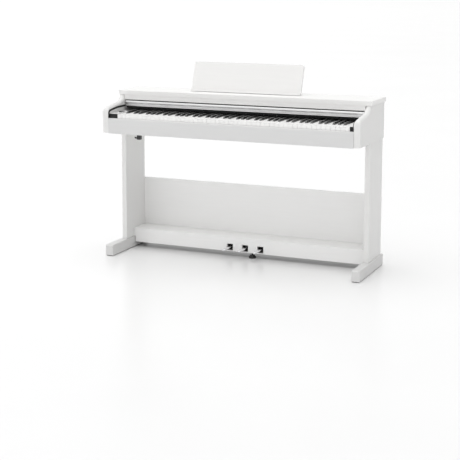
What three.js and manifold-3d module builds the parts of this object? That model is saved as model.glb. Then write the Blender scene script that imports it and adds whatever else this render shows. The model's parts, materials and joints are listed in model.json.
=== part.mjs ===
// A home digital piano on its own slab-legged stand.
// Units are millimetres. +Z is up, +X is the player's right and the player sits on the -Y side.
// The origin is on the floor, under the middle of the object's bounding box.

import * as THREE from 'three';
import { mergeVertices } from 'three/addons/utils/BufferGeometryUtils.js';
import Module from 'manifold-3d';

const wasm = await Module();
wasm.setup();

// ---------------------------------------------------------------- driving dimensions

const GAP = 0.3;                    // clearance left between pieces that touch

// Cabinet
const TOP_HALF = 680;               // half the width of the top board and across the feet
const TOP_Z = 845;                  // upper face of the top board
const TOP_T = 21;
const TOP_FRONT_Y = -29.5;
const TOP_BACK_Y = 208;
const SIDE_OUT_X = 677.5;           // outer face of each side panel
const SIDE_IN_X = 645.5;            // inner face of each side panel
const SIDE_BACK_Y = 190;
const SIDE_BOTTOM_Z = 643.5;
const ARM_FRONT_Y = -209.5;         // foremost line of the arms
const ARM_RAKE = 6;                 // the arm's front leans in by this much at its foot
const ARM_CORNER_Z = 772;           // where the front and the sloping top would meet
const ARM_CORNER_R = 24;
const ARM_SLOPE = 0.15;             // rise of the arm's top towards the back
const ARM_ROUND = 15;               // rounding along both upper edges of the arm
const CURVE_START_Y = -90;          // the S-curve up to the top board begins here
const CURVE_END_Y = -25;
const KEYBED_T = 18;
const KEYBED_Z = SIDE_BOTTOM_Z;     // underside of the keybed
const BACK_PANEL_T = 9;
const NAMEBOARD_Y = -27.5;
const NAMEBOARD_T = 12;
const NAMEBOARD_Z = 798.5;
const SLIP_FRONT_Y = -208;
const SLIP_T = 7;
const SLIP_BOTTOM_Z = 641.5;
const SLIP_TOP_Z = 720;

// Stand
const LEG_OUT_X = 671;
const LEG_T = 24.5;
const LEG_FRONT_Y = -18.5;
const LEG_BACK_Y = 194;
const FOOT_IN_X = 638;
const FOOT_FRONT_Y = -186.5;
const FOOT_BACK_Y = 209.5;
const FOOT_H = 56.5;
const FOOT_PAD_T = 3;
const KICK_TOP_Z = 355.5;
const KICK_T = 14.5;
const BOX_FRONT_Y = 65;             // front face of the pedal box
const BOX_BOTTOM_Z = 26;
const BOX_TOP_Z = 100;
const BOX_T = 15;
const BOX_BASE_T = 12;

// Keyboard
const KEYS_LEFT_X = -597.5;
const WHITE_PITCH = 23.5;
const WHITE_COUNT = 52;
const KEY_GAP = 0.9;
const KEY_FRONT_Y = -200;
const KEY_TOP_Z = 741;
const WHITE_H = 19;
const WHITE_HEAD = 50;              // length of a white key in front of the black keys
const WHITE_BACK_Y = 75;
const BLACK_W = 10.5;
const BLACK_TOP_W = 8.6;
const BLACK_RISE = 11;              // height of a black key above the white ones
const BLACK_BOTTOM_Z = 727;
const BLACK_BACK_Y = 58;
const BLACK_FRONT_Y = KEY_FRONT_Y + WHITE_HEAD + 3;
const NOTCH_HALF = 6.5;             // half the space that a black key takes between white ones
const WEB_T = 13;                   // rear bar that joins a block of keys
const CHEEK_FRONT_Y = -200;
const CHEEK_BACK_Y = -36;
const CHEEK_TOP_Z = 742;
const CHEEK_BOTTOM_Z = KEYBED_Z + KEYBED_T + GAP;

// Key cover and its guide rails
const COVER_HALF = 641.8;
const COVER_FRONT_Y = -30;
const COVER_BOTTOM_Z = 765;
const COVER_TOP_Z = 794;
const COVER_PANEL_Z = 783;
const COVER_PANEL_T = 5;
const COVER_PANEL_BACK_Y = 165;
const RAIL_T = 2.8;
const RAIL_W = 9;

// Music rest
const REST_HALF = 298.5;
const REST_H = 153;
const REST_T = 12;
const REST_LEAN = THREE.MathUtils.degToRad(19);
const REST_FOOT = new THREE.Vector3(-18, 82, 850.5);   // middle of the panel's lower front edge
const REST_AXIS = { y: 16, z: 4 };                   // hinge axis in the panel's own frame
const REST_CORNER_R = 13;
const LEDGE_D = 11.5;
const STAY_UP = 75;                 // stay pivot, measured up the panel from the hinge
const STAY_L = 77.5;
const STAY_LEAN = THREE.MathUtils.degToRad(18);
const STAY_HALF = 90;
const STAY_W = 4.4;

// Pedals
const PEDAL_CENTRE_X = -7;
const PEDAL_PITCH = 84;
const PEDAL_TIP_Y = -20;
const PEDAL_SHAFT_Y = 150;
const PEDAL_SHAFT_Z = 50;
const PEDAL_SHAFT_R = 4;
const PEDAL_T = 9;
const PEDAL_W = 24;
const PEDAL_STEM_W = 20;
const SLOT_W = 34;
const SLOT_BOTTOM_Z = 30;
const SLOT_TOP_Z = 64.5;
const ADJUSTER = { x: 32, y: BOX_FRONT_Y + BOX_T / 2, r: 18.5, neckR: 13, stemR: 4, top: 38 };
const ADJUSTER_Z = { rim: 9, neck: 16 };

// ---------------------------------------------------------------- materials

function finish(color, roughness, metalness = 0) {
  return new THREE.MeshStandardMaterial({ color, roughness, metalness });
}

const WHITE_SATIN = finish(0xf2f1ef, 0.45);
const WHITE_KEY = finish(0xf7f6f2, 0.22);
const BLACK_KEY = finish(0x121212, 0.35);
const BLACK_PLASTIC = finish(0x181818, 0.5);
const COVER_SILVER = finish(0xc9cacc, 0.35, 0.3);
const CHROME = finish(0xdadcde, 0.12, 1);
const STEEL = finish(0x9a9ca0, 0.4, 0.9);
const RUBBER = finish(0x2a2a2a, 0.85);
const FELT = finish(0x151515, 0.95);
const CIRCUIT = finish(0x1f5b36, 0.6);
const DARK_BOARD = finish(0x24211f, 0.8);

// ---------------------------------------------------------------- building helpers

const piano = new THREE.Group();

/** Adds one named mesh to a group and returns it. */
function add(name, geometry, material, parent = piano) {
  const mesh = new THREE.Mesh(geometry, material);
  mesh.name = name;
  parent.add(mesh);
  return mesh;
}

/** A box given by its lowest and highest corners. */
function block(low, high) {
  const [width, depth, height] = high.map((h, i) => h - low[i]);
  const box = new THREE.BoxGeometry(width, depth, height);
  return box.translate((low[0] + high[0]) / 2, (low[1] + high[1]) / 2, (low[2] + high[2]) / 2);
}

/** A Shape from a list of [u, v] points, with optional holes given the same way. */
function outline(points, holes = []) {
  const shape = new THREE.Shape(points.map(([u, v]) => new THREE.Vector2(u, v)));
  shape.holes = holes.map((hole) => new THREE.Path(hole.map(([u, v]) => new THREE.Vector2(u, v))));
  return shape;
}

function extrude(shape, depth, curveSegments = 8) {
  return new THREE.ExtrudeGeometry(shape, { depth, bevelEnabled: false, curveSegments });
}

/** Extrudes a Y-Z profile along X from x0 to x1. */
function alongX(shape, x0, x1, curveSegments) {
  const geometry = extrude(shape, x1 - x0, curveSegments);
  const toYZ = new THREE.Matrix4().set(0, 0, 1, x0, 1, 0, 0, 0, 0, 1, 0, 0, 0, 0, 0, 1);
  return geometry.applyMatrix4(toYZ);
}

/** Extrudes an X-Y plan up Z from z0 to z1. */
function alongZ(shape, z0, z1, curveSegments) {
  return extrude(shape, z1 - z0, curveSegments).translate(0, 0, z0);
}

/** Extrudes an X-Z elevation along Y from y0 to y1. */
function alongY(shape, y0, y1, curveSegments) {
  const geometry = extrude(shape, y1 - y0, curveSegments);
  const toXZ = new THREE.Matrix4().set(1, 0, 0, 0, 0, 0, -1, y1, 0, 1, 0, 0, 0, 0, 0, 1);
  return geometry.applyMatrix4(toXZ);
}

function rectangle(u0, v0, u1, v1) {
  return [[u0, v0], [u1, v0], [u1, v1], [u0, v1]];
}

function circlePoints(u, v, r, count) {
  const step = (2 * Math.PI) / count;
  return Array.from({ length: count }, (_, i) => [u + r * Math.cos(i * step), v + r * Math.sin(i * step)]);
}

function uprightCylinder(x, y, z0, z1, r, sides = 24) {
  return alongZ(outline(circlePoints(x, y, r, sides)), z0, z1);
}

/** A manifold-3d solid from a closed three.js geometry. */
function toSolid(geometry) {
  const bare = geometry.clone();
  bare.deleteAttribute('normal');
  bare.deleteAttribute('uv');
  const merged = mergeVertices(bare, 1e-4);
  const vertProperties = new Float32Array(merged.attributes.position.array);
  const triVerts = new Uint32Array(merged.index.array);
  return new wasm.Manifold(new wasm.Mesh({ numProp: 3, vertProperties, triVerts }));
}

function toGeometry(solid) {
  const mesh = solid.getMesh();
  const geometry = new THREE.BufferGeometry();
  geometry.setAttribute('position', new THREE.BufferAttribute(mesh.vertProperties, 3));
  geometry.setIndex(new THREE.BufferAttribute(mesh.triVerts, 1));
  const flat = geometry.toNonIndexed();
  flat.computeVertexNormals();
  return flat;
}

function join(pieces) {
  return toGeometry(pieces.map(toSolid).reduce((whole, piece) => whole.add(piece)));
}

function cut(body, tools) {
  return toGeometry(tools.map(toSolid).reduce((rest, tool) => rest.subtract(tool), toSolid(body)));
}

// ---------------------------------------------------------------- side panels

/** Height of the arm's sloping top at a given depth. */
function armTop(y) {
  return ARM_CORNER_Z + ARM_SLOPE * (y - ARM_FRONT_Y);
}

/**
 * Outline of a side panel in the Y-Z plane, walked from the lower back corner: forward along the
 * bottom, up the raked front, round the corner, up the slope and the S-curve, and back under the
 * top board. Each point also carries how far the rounding of the upper edges pulls it in, 0 to 1.
 */
function sidePanelOutline() {
  const path = new THREE.Path();
  path.moveTo(SIDE_BACK_Y, SIDE_BOTTOM_Z);
  path.lineTo(ARM_FRONT_Y + ARM_RAKE, SIDE_BOTTOM_Z);
  path.lineTo(ARM_FRONT_Y, ARM_CORNER_Z - ARM_CORNER_R);
  const cornerEndY = ARM_FRONT_Y + ARM_CORNER_R;
  path.quadraticCurveTo(ARM_FRONT_Y, ARM_CORNER_Z, cornerEndY, armTop(cornerEndY));
  path.lineTo(CURVE_START_Y, armTop(CURVE_START_Y));
  const underTopZ = TOP_Z - TOP_T - GAP;
  path.bezierCurveTo(
    CURVE_START_Y + 28, armTop(CURVE_START_Y + 28) + 1,
    CURVE_END_Y - 12.6, underTopZ - 18,
    CURVE_END_Y, underTopZ,
  );
  path.lineTo(SIDE_BACK_Y, underTopZ);
  const points = path.getPoints(8);
  return points.map(({ x: y, y: z }) => {
    const onTop = z > ARM_CORNER_Z - ARM_CORNER_R + 1 && y < CURVE_END_Y + 1;
    const eased = Math.min(1, (y - ARM_FRONT_Y) / ARM_CORNER_R);
    return { y, z, pull: onTop ? eased : 0 };
  });
}

/** A closed solid through equal outlines at the given X stations; side is -1 or 1. */
function loftAcross(stations, side) {
  const count = stations[0].points.length;
  const position = stations.flatMap(({ x, points }) => points.flatMap(([y, z]) => [side * x, y, z]));
  const faces = [];
  const cap = THREE.ShapeUtils.triangulateShape(
    stations[0].points.map(([y, z]) => new THREE.Vector2(y, z)),
    [],
  );
  const last = (stations.length - 1) * count;
  for (const [a, b, c] of cap) {
    faces.push([c, b, a], [last + a, last + b, last + c]);
  }
  for (let s = 0; s < stations.length - 1; s += 1) {
    for (let i = 0; i < count; i += 1) {
      const j = (i + 1) % count;
      const near = s * count;
      const far = near + count;
      faces.push([near + i, far + i, near + j], [near + j, far + i, far + j]);
    }
  }
  const geometry = new THREE.BufferGeometry();
  geometry.setAttribute('position', new THREE.Float32BufferAttribute(position, 3));
  geometry.setIndex(faces.flatMap((face) => (side > 0 ? face : face.toReversed())));
  const solid = geometry.toNonIndexed();
  solid.computeVertexNormals();
  return solid;
}

/** The left or right side panel: a thick slab whose arm is rounded over on both upper edges. */
function sidePanel(side) {
  const base = sidePanelOutline();
  const normals = base.map((point, i) => {
    const before = base[(i + base.length - 1) % base.length];
    const after = base[(i + 1) % base.length];
    const along = new THREE.Vector2(after.y - before.y, after.z - before.z).normalize();
    return new THREE.Vector2(-along.y, along.x);
  });
  const layer = (x, depth) => ({
    x,
    points: base.map(({ y, z, pull }, i) => [
      y - normals[i].x * depth * pull,
      z - normals[i].y * depth * pull,
    ]),
  });
  const steps = 5;
  const quarter = Array.from({ length: steps + 1 }, (_, i) => (i / steps) * (Math.PI / 2));
  const across = (angle) => ARM_ROUND * (1 - Math.cos(angle));
  const inset = (angle) => ARM_ROUND * (1 - Math.sin(angle));
  const inner = quarter.map((angle) => layer(SIDE_IN_X + across(angle), inset(angle)));
  const outer = quarter.toReversed().map((angle) => layer(SIDE_OUT_X - across(angle), inset(angle)));
  const stations = [...inner, ...outer];
  return loftAcross(stations, side);
}

// ---------------------------------------------------------------- cabinet

function topBoard() {
  return block([-TOP_HALF, TOP_FRONT_Y, TOP_Z - TOP_T], [TOP_HALF, TOP_BACK_Y, TOP_Z]);
}

function nameboard() {
  const halfWidth = SIDE_IN_X - GAP;
  return block(
    [-halfWidth, NAMEBOARD_Y, NAMEBOARD_Z],
    [halfWidth, NAMEBOARD_Y + NAMEBOARD_T, TOP_Z - TOP_T - GAP],
  );
}

function backPanel() {
  const halfWidth = SIDE_IN_X - GAP;
  return block(
    [-halfWidth, SIDE_BACK_Y - BACK_PANEL_T, KEYBED_Z + KEYBED_T + GAP],
    [halfWidth, SIDE_BACK_Y, TOP_Z - TOP_T - GAP],
  );
}

const SPEAKER = { x: 430, y: 132, r: 42, hole: 34, neckR: 24, magnetR: 27, coneH: 34, height: 50 };

/** The bottom board under the keys, with a round opening over each speaker. */
function keybed() {
  const halfWidth = SIDE_IN_X - GAP;
  const backY = SIDE_BACK_Y;
  const frontY = SLIP_FRONT_Y + SLIP_T + GAP;
  const holes = [-SPEAKER.x, SPEAKER.x].map((x) => circlePoints(x, SPEAKER.y, SPEAKER.hole, 24));
  const plan = outline(rectangle(-halfWidth, frontY, halfWidth, backY), holes);
  return alongZ(plan, KEYBED_Z, KEYBED_Z + KEYBED_T);
}

/** The front rail below the keys, with a rounded upper front edge. */
function keySlip() {
  const round = 6;
  const shape = new THREE.Shape();
  shape.moveTo(SLIP_FRONT_Y, SLIP_BOTTOM_Z);
  shape.lineTo(SLIP_FRONT_Y + SLIP_T, SLIP_BOTTOM_Z);
  shape.lineTo(SLIP_FRONT_Y + SLIP_T, SLIP_TOP_Z);
  shape.lineTo(SLIP_FRONT_Y + round, SLIP_TOP_Z);
  shape.quadraticCurveTo(SLIP_FRONT_Y, SLIP_TOP_Z, SLIP_FRONT_Y, SLIP_TOP_Z - round);
  const halfWidth = SIDE_IN_X - GAP;
  return alongX(shape, -halfWidth, halfWidth, 5);
}

const FELT_RAIL = { y0: -13.7, y1: -6, z0: 753, z1: 762 };

/** The narrow felted rail that spans the case just behind the visible part of the keys. */
function keyFeltRail() {
  const halfWidth = SIDE_IN_X - RAIL_T - GAP - 0.2;
  return block([-halfWidth, FELT_RAIL.y0, FELT_RAIL.z0], [halfWidth, FELT_RAIL.y1, FELT_RAIL.z1]);
}

// ---------------------------------------------------------------- stand

function leg(side) {
  const xs = [side * LEG_OUT_X, side * (LEG_OUT_X - LEG_T)].sort((a, b) => a - b);
  return block([xs[0], LEG_FRONT_Y, FOOT_H + GAP], [xs[1], LEG_BACK_Y, SIDE_BOTTOM_Z - GAP]);
}

/** A foot: a long beam, a little wider at its base, with sloped upper ends. */
function foot(side) {
  const flare = 3;
  const chamfer = 5;
  const low = FOOT_PAD_T + GAP;
  const rise = FOOT_H - chamfer;
  const ring = (inX, outX, frontY, backY, z) => [
    [inX, frontY, z], [outX, frontY, z], [outX, backY, z], [inX, backY, z],
  ];
  const levels = [
    ring(FOOT_IN_X, TOP_HALF, FOOT_FRONT_Y, FOOT_BACK_Y, low),
    ring(FOOT_IN_X + flare, TOP_HALF - 0.5, FOOT_FRONT_Y, FOOT_BACK_Y, rise),
    ring(FOOT_IN_X + flare + 1, TOP_HALF - 1.5, FOOT_FRONT_Y + chamfer, FOOT_BACK_Y - chamfer, FOOT_H),
  ];
  const position = levels.flat().flatMap(([x, y, z]) => [side * x, y, z]);
  const faces = [[0, 2, 1], [0, 3, 2], [8, 9, 10], [8, 10, 11]];
  for (let level = 0; level < 2; level += 1) {
    for (let i = 0; i < 4; i += 1) {
      const a = level * 4 + i;
      const b = level * 4 + ((i + 1) % 4);
      faces.push([a, b, a + 4], [b, b + 4, a + 4]);
    }
  }
  const geometry = new THREE.BufferGeometry();
  geometry.setAttribute('position', new THREE.Float32BufferAttribute(position, 3));
  geometry.setIndex(faces.flatMap((face) => (side > 0 ? face : face.toReversed())));
  const solid = geometry.toNonIndexed();
  solid.computeVertexNormals();
  return solid;
}

/** The rubber strip that a foot stands on, set in from the foot's edges. */
function footPad(side) {
  const inset = 4;
  const xs = [side * (FOOT_IN_X + inset), side * (TOP_HALF - inset)].sort((a, b) => a - b);
  return block([xs[0], FOOT_FRONT_Y + inset, 0], [xs[1], FOOT_BACK_Y - inset, FOOT_PAD_T]);
}

/** The board across the back of the stand, notched over the rear ends of the feet. */
function kickBoard() {
  const halfWidth = LEG_OUT_X - 3;
  const lowHalf = FOOT_IN_X - GAP;
  const notchZ = FOOT_H + GAP;
  const face = outline([
    [-lowHalf, BOX_BOTTOM_Z], [lowHalf, BOX_BOTTOM_Z], [lowHalf, notchZ], [halfWidth, notchZ],
    [halfWidth, KICK_TOP_Z], [-halfWidth, KICK_TOP_Z], [-halfWidth, notchZ], [-lowHalf, notchZ],
  ]);
  return alongY(face, LEG_BACK_Y + GAP, LEG_BACK_Y + GAP + KICK_T);
}

const BOX_HALF = LEG_OUT_X - LEG_T - GAP;
const BOX_LOW_HALF = FOOT_IN_X - GAP;       // between the feet, which stand in past the legs
const PEDAL_XS = [-1, 0, 1].map((i) => PEDAL_CENTRE_X + i * PEDAL_PITCH);

/** The pedal box's front: notched over the feet, with one upright slot for each pedal. */
function pedalBoxFront() {
  const notchZ = FOOT_H + GAP;
  const face = outline([
    [-BOX_LOW_HALF, BOX_BOTTOM_Z], [BOX_LOW_HALF, BOX_BOTTOM_Z], [BOX_LOW_HALF, notchZ],
    [BOX_HALF, notchZ], [BOX_HALF, BOX_TOP_Z], [-BOX_HALF, BOX_TOP_Z], [-BOX_HALF, notchZ],
    [-BOX_LOW_HALF, notchZ],
  ]);
  const slots = PEDAL_XS.map((x) => block(
    [x - SLOT_W / 2, BOX_FRONT_Y - 1, SLOT_BOTTOM_Z],
    [x + SLOT_W / 2, BOX_FRONT_Y + BOX_T + 1, SLOT_TOP_Z],
  ));
  const stemHole = uprightCylinder(
    ADJUSTER.x, ADJUSTER.y, BOX_BOTTOM_Z - 1, ADJUSTER.top + GAP, ADJUSTER.stemR + GAP, 16,
  );
  return cut(alongY(face, BOX_FRONT_Y, BOX_FRONT_Y + BOX_T), [...slots, stemHole]);
}

function pedalBoxTop() {
  return block(
    [-BOX_HALF, BOX_FRONT_Y + BOX_T + GAP, BOX_TOP_Z - BOX_T],
    [BOX_HALF, LEG_BACK_Y, BOX_TOP_Z],
  );
}

const BOX_BASE_TOP_Z = BOX_BOTTOM_Z + BOX_BASE_T;

function pedalBoxBase() {
  return block(
    [-BOX_LOW_HALF, BOX_FRONT_Y + BOX_T + GAP, BOX_BOTTOM_Z],
    [BOX_LOW_HALF, LEG_BACK_Y, BOX_BASE_TOP_Z],
  );
}

// ---------------------------------------------------------------- pedals

const HUB_R = 8;
const HUB_HALF = 11;

function crossCylinder(x0, x1, y, z, r, sides = 20) {
  return alongX(outline(circlePoints(y, z, r, sides)), x0, x1);
}

/** One pedal: a flat lever that widens to a round tip, with a bored hub at its back. */
function pedal(x) {
  const stem = PEDAL_STEM_W / 2;
  const half = PEDAL_W / 2;
  const plan = new THREE.Shape();
  plan.moveTo(x - stem, PEDAL_SHAFT_Y);
  plan.lineTo(x - stem, BOX_FRONT_Y - 5);
  plan.bezierCurveTo(x - stem, BOX_FRONT_Y - 25, x - half, BOX_FRONT_Y - 35, x - half, PEDAL_TIP_Y + half);
  plan.absarc(x, PEDAL_TIP_Y + half, half, Math.PI, 2 * Math.PI);
  plan.bezierCurveTo(x + half, BOX_FRONT_Y - 35, x + stem, BOX_FRONT_Y - 25, x + stem, BOX_FRONT_Y - 5);
  plan.lineTo(x + stem, PEDAL_SHAFT_Y);
  const lever = alongZ(plan, PEDAL_SHAFT_Z - PEDAL_T / 2, PEDAL_SHAFT_Z + PEDAL_T / 2, 7);
  const hub = crossCylinder(x - HUB_HALF, x + HUB_HALF, PEDAL_SHAFT_Y, PEDAL_SHAFT_Z, HUB_R);
  const bore = crossCylinder(
    x - HUB_HALF - 1, x + HUB_HALF + 1, PEDAL_SHAFT_Y, PEDAL_SHAFT_Z, PEDAL_SHAFT_R + GAP,
  );
  return cut(join([lever, hub]), [bore]);
}

const BRACKET_HALF = PEDAL_PITCH + 24;
const BRACKET_T = 2.5;
const BRACKET_EAR = { half: 12, over: 11 };   // reach of an ear around and above the shaft

/** The steel channel on the box floor that carries the pedal shaft in its two ears. */
function pedalBracket() {
  const z0 = BOX_BASE_TOP_Z + GAP;
  const left = PEDAL_CENTRE_X - BRACKET_HALF;
  const right = PEDAL_CENTRE_X + BRACKET_HALF;
  const base = block([left, PEDAL_SHAFT_Y - 30, z0], [right, PEDAL_SHAFT_Y + 14, z0 + 1.5]);
  const ear = (x) => block(
    [x, PEDAL_SHAFT_Y - BRACKET_EAR.half, z0],
    [x + BRACKET_T, PEDAL_SHAFT_Y + BRACKET_EAR.half, PEDAL_SHAFT_Z + BRACKET_EAR.over],
  );
  const bore = crossCylinder(left - 1, right + 1, PEDAL_SHAFT_Y, PEDAL_SHAFT_Z, PEDAL_SHAFT_R + GAP);
  return cut(join([base, ear(left), ear(right - BRACKET_T)]), [bore]);
}

function pedalShaft() {
  const reach = BRACKET_HALF + 3;
  return crossCylinder(
    PEDAL_CENTRE_X - reach, PEDAL_CENTRE_X + reach, PEDAL_SHAFT_Y, PEDAL_SHAFT_Z, PEDAL_SHAFT_R,
  );
}

/** The adjuster: a knurled disc whose stem screws up into the pedal box's front board. */
function adjusterBolt() {
  const { x, y, r, neckR, stemR, top } = ADJUSTER;
  const teeth = 20;
  const points = Array.from({ length: teeth * 2 }, (_, i) => {
    const angle = (i * Math.PI) / teeth;
    const radius = r - (i % 2 ? 1.2 : 0);
    return [x + radius * Math.cos(angle), y + radius * Math.sin(angle)];
  });
  const rim = alongZ(outline(points), 0, ADJUSTER_Z.rim);
  const neck = uprightCylinder(x, y, ADJUSTER_Z.rim - 1, ADJUSTER_Z.neck, neckR);
  const stem = uprightCylinder(x, y, ADJUSTER_Z.neck - 1, top, stemR, 16);
  return join([rim, neck, stem]);
}

// ---------------------------------------------------------------- keys

// Where each black key's centre line is, in millimetres from the left edge of its octave's C.
const BLACK_CENTRES = [0.9, 2.1, 3.857, 5, 6.143].map((pitches) => pitches * WHITE_PITCH);
const OCTAVE_W = 7 * WHITE_PITCH;
const FIRST_C_X = KEYS_LEFT_X + 2 * WHITE_PITCH;

/** X of the centre line of every black key, from the lowest note up. */
function blackKeyCentres() {
  const all = [];
  for (let octave = -1; octave < 7; octave += 1) {
    for (const offset of BLACK_CENTRES) {
      all.push(FIRST_C_X + octave * OCTAVE_W + offset);
    }
  }
  return all.filter((x) => x > KEYS_LEFT_X);
}

const BLACK_XS = blackKeyCentres();

/** A white key in plan: full width in front, narrower where black keys stand beside its tail. */
function whiteKey(index) {
  const left = KEYS_LEFT_X + index * WHITE_PITCH + KEY_GAP / 2;
  const right = left + WHITE_PITCH - KEY_GAP;
  const neckY = KEY_FRONT_Y + WHITE_HEAD;
  const near = (edge) => BLACK_XS.find((x) => Math.abs(x - edge) < WHITE_PITCH / 2);
  const leftBlack = near(left);
  const rightBlack = near(right);
  const tailLeft = leftBlack === undefined ? left : leftBlack + NOTCH_HALF;
  const tailRight = rightBlack === undefined ? right : rightBlack - NOTCH_HALF;
  const plan = [[left, KEY_FRONT_Y], [right, KEY_FRONT_Y]];
  if (tailRight !== right) {
    plan.push([right, neckY], [tailRight, neckY]);
  }
  plan.push([tailRight, WHITE_BACK_Y], [tailLeft, WHITE_BACK_Y]);
  if (tailLeft !== left) {
    plan.push([tailLeft, neckY], [left, neckY]);
  }
  return alongZ(outline(plan), KEY_TOP_Z - WHITE_H, KEY_TOP_Z);
}

/** A black key: a bar that narrows upwards, with a sloped front. */
function blackKey(x) {
  const topZ = KEY_TOP_Z + BLACK_RISE;
  const low = BLACK_W / 2;
  const high = BLACK_TOP_W / 2;
  const slopeBack = 5;
  const corners = [
    [x - low, BLACK_FRONT_Y, BLACK_BOTTOM_Z], [x + low, BLACK_FRONT_Y, BLACK_BOTTOM_Z],
    [x + low, BLACK_BACK_Y, BLACK_BOTTOM_Z], [x - low, BLACK_BACK_Y, BLACK_BOTTOM_Z],
    [x - high, BLACK_FRONT_Y + slopeBack, topZ], [x + high, BLACK_FRONT_Y + slopeBack, topZ],
    [x + high, BLACK_BACK_Y, topZ], [x - high, BLACK_BACK_Y, topZ],
  ];
  const quads = [[0, 3, 2, 1], [4, 5, 6, 7], [0, 1, 5, 4], [1, 2, 6, 5], [2, 3, 7, 6], [3, 0, 4, 7]];
  const geometry = new THREE.BufferGeometry();
  geometry.setAttribute('position', new THREE.Float32BufferAttribute(corners.flat(), 3));
  geometry.setIndex(quads.flatMap(([a, b, c, d]) => [a, b, c, a, c, d]));
  const solid = geometry.toNonIndexed();
  solid.computeVertexNormals();
  return solid;
}

/** White keys from first to last, joined by a bar across their tails. */
function whiteKeyBlock(first, last) {
  const keys = [];
  for (let index = first; index <= last; index += 1) {
    keys.push(whiteKey(index));
  }
  const left = KEYS_LEFT_X + first * WHITE_PITCH + KEY_GAP / 2;
  const right = KEYS_LEFT_X + (last + 1) * WHITE_PITCH - KEY_GAP / 2;
  const web = block(
    [left, WHITE_BACK_Y - WEB_T, KEY_TOP_Z - WHITE_H + 2],
    [right, WHITE_BACK_Y - 1, KEY_TOP_Z - 3],
  );
  return join([...keys, web]);
}

/** Black keys between two X positions, joined by a bar that passes over the white keys' tails. */
function blackKeyBlock(xs) {
  const web = block(
    [xs[0], BLACK_BACK_Y - WEB_T, KEY_TOP_Z + 4],
    [xs.at(-1), BLACK_BACK_Y - 1, KEY_TOP_Z + BLACK_RISE - 2],
  );
  return join([...xs.map(blackKey), web]);
}

const TRAY = { y0: -190, y1: 85, t: 5 };
const STOP_RAIL = { y0: -172, y1: -150, top: 700 };
const PIVOT_RAIL = { y0: 52, y1: 82, top: KEY_TOP_Z - WHITE_H - 0.8 };

/** The frame the keys are mounted on: a tray with a stop rail in front and a pivot rail behind. */
function keyboardChassis() {
  const trayZ = KEYBED_Z + KEYBED_T + GAP;
  const floor = trayZ + TRAY.t;
  const profile = [
    [TRAY.y0, trayZ], [TRAY.y1, trayZ], [TRAY.y1, floor],
    [PIVOT_RAIL.y1, floor], [PIVOT_RAIL.y1, PIVOT_RAIL.top],
    [PIVOT_RAIL.y0, PIVOT_RAIL.top], [PIVOT_RAIL.y0, floor],
    [STOP_RAIL.y1, floor], [STOP_RAIL.y1, STOP_RAIL.top],
    [STOP_RAIL.y0, STOP_RAIL.top], [STOP_RAIL.y0, floor], [TRAY.y0, floor],
  ];
  return alongX(outline(profile), KEYS_LEFT_X, KEYS_LEFT_X + WHITE_COUNT * WHITE_PITCH);
}

const LEFT_CHEEK = [-(SIDE_IN_X - RAIL_T - 2 * GAP), KEYS_LEFT_X - 0.6];
const RIGHT_CHEEK = [KEYS_LEFT_X + WHITE_COUNT * WHITE_PITCH + 0.6, SIDE_IN_X - RAIL_T - 2 * GAP];

const POWER = { x: -621, y: -166, r: 7 };
const SLIDER = { x: -621, y0: -128, y1: -72, w: 7 };
const SOUND = { x: -621, y: -50, r: 5 };
const WELL_FLOOR_Z = CHEEK_TOP_Z - 6;

/** The left cheek block, with a well for each control. */
function leftCheekBlock() {
  const body = block(
    [LEFT_CHEEK[0], CHEEK_FRONT_Y, CHEEK_BOTTOM_Z],
    [LEFT_CHEEK[1], CHEEK_BACK_Y, CHEEK_TOP_Z],
  );
  const over = CHEEK_TOP_Z + 1;
  const round = (button) => uprightCylinder(button.x, button.y, WELL_FLOOR_Z, over, button.r + 0.5);
  const slot = block(
    [SLIDER.x - SLIDER.w / 2, SLIDER.y0, WELL_FLOOR_Z],
    [SLIDER.x + SLIDER.w / 2, SLIDER.y1, over],
  );
  return cut(body, [round(POWER), round(SOUND), slot]);
}

function rightCheekBlock() {
  return block(
    [RIGHT_CHEEK[0], CHEEK_FRONT_Y, CHEEK_BOTTOM_Z],
    [RIGHT_CHEEK[1], CHEEK_BACK_Y, CHEEK_TOP_Z],
  );
}

function roundButton({ x, y, r }) {
  return uprightCylinder(x, y, WELL_FLOOR_Z + 2.4, CHEEK_TOP_Z + 0.8, r, 20);
}

const SLIDER_CAP = { halfW: 7, halfD: 5, z0: CHEEK_TOP_Z + 0.5, z1: CHEEK_TOP_Z + 5 };
const SLIDER_STEM = { halfW: SLIDER.w / 2 - 0.5, halfD: 4, z0: WELL_FLOOR_Z + 1, z1: CHEEK_TOP_Z + 1 };

/** The volume slider: a stem in its slot, at the quiet end, and the cap that stands over it. */
function volumeSlider() {
  const y = SLIDER.y0 + 8;
  const upright = ({ halfW, halfD, z0, z1 }) => block(
    [SLIDER.x - halfW, y - halfD, z0],
    [SLIDER.x + halfW, y + halfD, z1],
  );
  return join([upright(SLIDER_STEM), upright(SLIDER_CAP)]);
}

// ---------------------------------------------------------------- key cover

/** The cover's front rail: a rounded lip over a finger groove over a flat band. */
function coverFrontRail() {
  const backY = COVER_FRONT_Y + 15;
  const grooveY = COVER_FRONT_Y + 6;
  const shape = new THREE.Shape();
  shape.moveTo(COVER_FRONT_Y + 2, COVER_BOTTOM_Z);
  shape.lineTo(backY, COVER_BOTTOM_Z);
  shape.lineTo(backY, COVER_TOP_Z);
  shape.lineTo(COVER_FRONT_Y + 5, COVER_TOP_Z);
  shape.quadraticCurveTo(COVER_FRONT_Y, COVER_TOP_Z, COVER_FRONT_Y, COVER_TOP_Z - 5);
  shape.quadraticCurveTo(COVER_FRONT_Y, COVER_TOP_Z - 9, grooveY, COVER_TOP_Z - 11);
  shape.quadraticCurveTo(grooveY, COVER_TOP_Z - 18, COVER_FRONT_Y + 2, COVER_TOP_Z - 20);
  return alongX(shape, -COVER_HALF, COVER_HALF, 5);
}

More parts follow.
